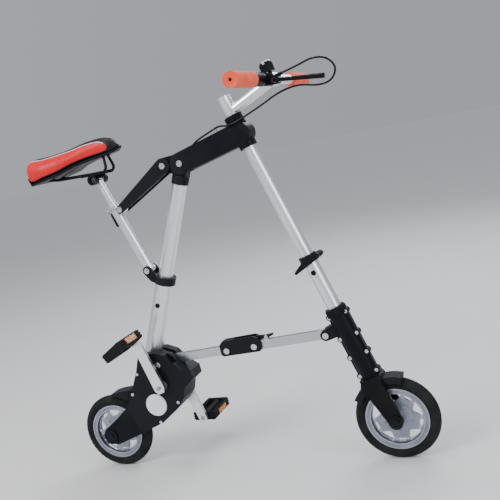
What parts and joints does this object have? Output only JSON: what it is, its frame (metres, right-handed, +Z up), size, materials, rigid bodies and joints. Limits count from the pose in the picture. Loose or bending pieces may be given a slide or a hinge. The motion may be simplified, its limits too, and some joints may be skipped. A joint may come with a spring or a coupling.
{
  "type": "folding bicycle",
  "caption": "Small-wheeled folding bicycle with an A-shaped frame, telescoping legs, a hinged crossbar, chain drive in a moulded case, steering column and saddle.",
  "frame": {"origin": "on the floor, midway between the two axles, in the middle plane", "axes": "+X forward along the wheelbase, +Y to the rider's left along the handlebar, +Z up"},
  "size_m": [0.9659, 0.52, 0.9606],
  "materials": {
    "black_plastic": "satin moulded",
    "silver_tube": "satin anodised",
    "steel": "bright zinc",
    "wheel_alloy": "silver grey lacquer",
    "tyre_rubber": "matte",
    "grip_rubber": "matte foam",
    "saddle_skin": "stitched synthetic leather",
    "black_metal": "satin black",
    "cable_jacket": "smooth",
    "cover_disc": "smooth silver white"
  },
  "bodies": {
    "frame": {"main_beam": "black_plastic", "head_bushes": "black_plastic", "apex_bolt": "steel", "brake_cable_lower": "cable_jacket"},
    "rear_upper_leg": {"rear_upper_tube": "silver_tube", "apex_cap": "black_plastic"},
    "seat_strut": {"seat_strut": "black_plastic", "strut_bolts": "steel"},
    "rear_lower_leg": {"rear_lower_tube": "silver_tube", "rear_collar": "black_plastic", "drive_case_right": "black_plastic", "drive_case_left": "black_plastic", "rear_fasteners": "steel", "chain_cover_disc": "cover_disc", "rear_axle": "black_metal", "rear_bearings": "steel", "drive_chains": "steel"},
    "rear_button": {"rear_button": "black_plastic"},
    "rear_wheel": {"rear_wheel": "wheel_alloy", "rear_tyre": "tyre_rubber"},
    "rear_sprocket": {"rear_sprocket": "steel"},
    "jackshaft": {"jackshaft": "steel"},
    "crankset": {"crank_spindle": "steel", "right_crank": "silver_tube", "left_crank": "silver_tube", "pedal_axles": "steel"},
    "right_pedal": {"right_pedal": "black_plastic"},
    "left_pedal": {"left_pedal": "black_plastic"},
    "seat_tube": {"seat_tube": "silver_tube", "seat_clamp": "steel"},
    "seat_lever": {"seat_lever": "black_metal"},
    "seat_post": {"seat_post": "silver_tube"},
    "saddle": {"saddle_rails": "black_metal", "saddle_base": "black_plastic", "saddle_cover": "saddle_skin"},
    "rear_crossbar": {"rear_crossbar": "silver_tube"},
    "centre_block": {"centre_block": "black_plastic", "block_bolts": "steel"},
    "front_crossbar": {"front_crossbar": "silver_tube"},
    "crossbar_latch": {"crossbar_latch": "black_plastic"},
    "fork_housing": {"housing_right": "black_plastic", "housing_left": "black_plastic", "housing_bolts": "steel"},
    "fork": {"fork": "black_metal", "front_lower_tube": "silver_tube", "front_mudguard": "black_plastic", "front_collar": "black_plastic", "front_axle": "black_metal"},
    "front_button": {"front_button": "black_plastic"},
    "front_lever": {"front_lever": "black_metal"},
    "front_wheel": {"front_wheel": "wheel_alloy", "front_tyre": "tyre_rubber"},
    "column": {"front_upper_tube": "silver_tube", "stem": "silver_tube", "handlebar": "silver_tube", "grips": "grip_rubber", "brake_bracket": "black_plastic", "bell": "black_plastic", "brake_cable_upper": "cable_jacket"},
    "brake_lever": {"brake_lever": "black_metal"}
  },
  "joints": [
    {"name": "frame_fold", "type": "hinge", "parent": "frame", "child": "rear_upper_leg", "pos_m": [-0.025, 0, 0.777], "axis": [0, -1, 0], "range_deg": [0, 38]},
    {"name": "rear_telescope", "type": "slide", "parent": "rear_upper_leg", "child": "rear_lower_leg", "axis": [0.3891, 0, 0.9212], "range_m": [0, 0.15]},
    {"name": "strut_hinge", "type": "hinge", "parent": "rear_upper_leg", "child": "seat_strut", "pos_m": [-0.073, 0, 0.779], "axis": [0, -1, 0], "range_deg": [-34, 0.5]},
    {"name": "seat_tube_hinge", "type": "hinge", "parent": "rear_lower_leg", "child": "seat_tube", "pos_m": [-0.178, 0, 0.529], "axis": [0, -1, 0], "range_deg": [-0.5, 33]},
    {"name": "seat_height", "type": "slide", "parent": "seat_tube", "child": "seat_post", "axis": [-0.3437, 0, 0.9391], "range_m": [-0.04, 0.05]},
    {"name": "saddle_tilt", "type": "hinge", "parent": "seat_post", "child": "saddle", "pos_m": [-0.26907, 0, 0.77786], "axis": [0, 1, 0], "range_deg": [-10, 10]},
    {"name": "seat_lever_turn", "type": "hinge", "parent": "seat_tube", "child": "seat_lever", "pos_m": [-0.25889, 0, 0.68894], "axis": [0, 1, 0], "range_deg": [0, 110]},
    {"name": "rear_bar_hinge", "type": "hinge", "parent": "rear_lower_leg", "child": "rear_crossbar", "pos_m": [-0.194, 0, 0.288], "axis": [0, -1, 0], "range_deg": [-0.5, 61.5]},
    {"name": "block_hinge", "type": "hinge", "parent": "rear_crossbar", "child": "centre_block", "pos_m": [-0.00992, 0, 0.30041], "axis": [0, -1, 0], "range_deg": [-88, 0.5]},
    {"name": "front_bar_hinge", "type": "hinge", "parent": "fork_housing", "child": "front_crossbar", "pos_m": [0.251, 0, 0.318], "axis": [0, -1, 0], "range_deg": [-70, 0.5]},
    {"name": "latch_press", "type": "hinge", "parent": "front_crossbar", "child": "crossbar_latch", "pos_m": [0.09766, 0, 0.3252], "axis": [0, 1, 0], "range_deg": [0, 11], "stiffness_Nm_per_rad": 0.08, "springref_deg": -5.73},
    {"name": "front_telescope", "type": "slide", "parent": "frame", "child": "fork_housing", "axis": [-0.309, 0, 0.9511], "range_m": [0, 0.23]},
    {"name": "steering", "type": "hinge", "parent": "frame", "child": "column", "pos_m": [0.37254, 0, 0.0966], "axis": [0.309, 0, -0.9511], "range_deg": [-45, 45], "deforming": ["brake_cable_upper"]},
    {"name": "fork_steer", "type": "hinge", "parent": "fork_housing", "child": "fork", "pos_m": [0.37254, 0, 0.0966], "axis": [0.309, 0, -0.9511], "range_deg": [-45.5, 45.5]},
    {"name": "front_wheel_spin", "type": "hinge", "parent": "fork", "child": "front_wheel", "pos_m": [0.383, 0, 0.1], "axis": [0, 1, 0], "continuous": true},
    {"name": "rear_wheel_spin", "type": "hinge", "parent": "rear_lower_leg", "child": "rear_wheel", "pos_m": [-0.383, 0, 0.1], "axis": [0, 1, 0], "continuous": true},
    {"name": "crank_spin", "type": "hinge", "parent": "rear_lower_leg", "child": "crankset", "pos_m": [-0.1944, 0, 0.2336], "axis": [0, 1, 0], "continuous": true},
    {"name": "jackshaft_spin", "type": "hinge", "parent": "rear_lower_leg", "child": "jackshaft", "pos_m": [-0.224, 0, 0.182], "axis": [0, 1, 0], "continuous": true},
    {"name": "rear_sprocket_spin", "type": "hinge", "parent": "rear_lower_leg", "child": "rear_sprocket", "pos_m": [-0.383, 0, 0.1], "axis": [0, 1, 0], "continuous": true},
    {"name": "right_pedal_spin", "type": "hinge", "parent": "crankset", "child": "right_pedal", "pos_m": [-0.23609, 0, 0.36829], "axis": [0, 1, 0], "continuous": true},
    {"name": "left_pedal_spin", "type": "hinge", "parent": "crankset", "child": "left_pedal", "pos_m": [-0.15271, 0, 0.09891], "axis": [0, 1, 0], "continuous": true},
    {"name": "rear_button_press", "type": "slide", "parent": "rear_lower_leg", "child": "rear_button", "axis": [0, 1, 0], "range_m": [0, 0.0015], "stiffness_N_per_m": 400, "springref_m": -0.001},
    {"name": "front_button_press", "type": "slide", "parent": "fork", "child": "front_button", "axis": [0, 1, 0], "range_m": [0, 0.0014], "stiffness_N_per_m": 400, "springref_m": -0.001},
    {"name": "front_lever_turn", "type": "hinge", "parent": "fork", "child": "front_lever", "pos_m": [0.26801, 0, 0.51214], "axis": [0, 1, 0], "range_deg": [0, 100]},
    {"name": "brake_squeeze", "type": "hinge", "parent": "column", "child": "brake_lever", "pos_m": [0.266, -0.064, 0.914], "axis": [0, 0, -1], "range_deg": [0, 20], "stiffness_Nm_per_rad": 0.4, "springref_deg": -5.73}
  ],
  "couplings": [
    {"joint": "strut_hinge", "follows": "rear_telescope", "rad_per_m": -3.8991},
    {"joint": "seat_tube_hinge", "follows": "rear_telescope", "rad_per_m": 3.7772},
    {"joint": "rear_bar_hinge", "follows": "frame_fold", "ratio": 1.6092},
    {"joint": "block_hinge", "follows": "frame_fold", "ratio": -2.2977},
    {"joint": "front_bar_hinge", "follows": "frame_fold", "ratio": -1.8243},
    {"joint": "fork_steer", "follows": "steering", "ratio": 1},
    {"joint": "jackshaft_spin", "follows": "crank_spin", "ratio": 1.8235},
    {"joint": "rear_sprocket_spin", "follows": "crank_spin", "ratio": 3.9076}
  ]
}
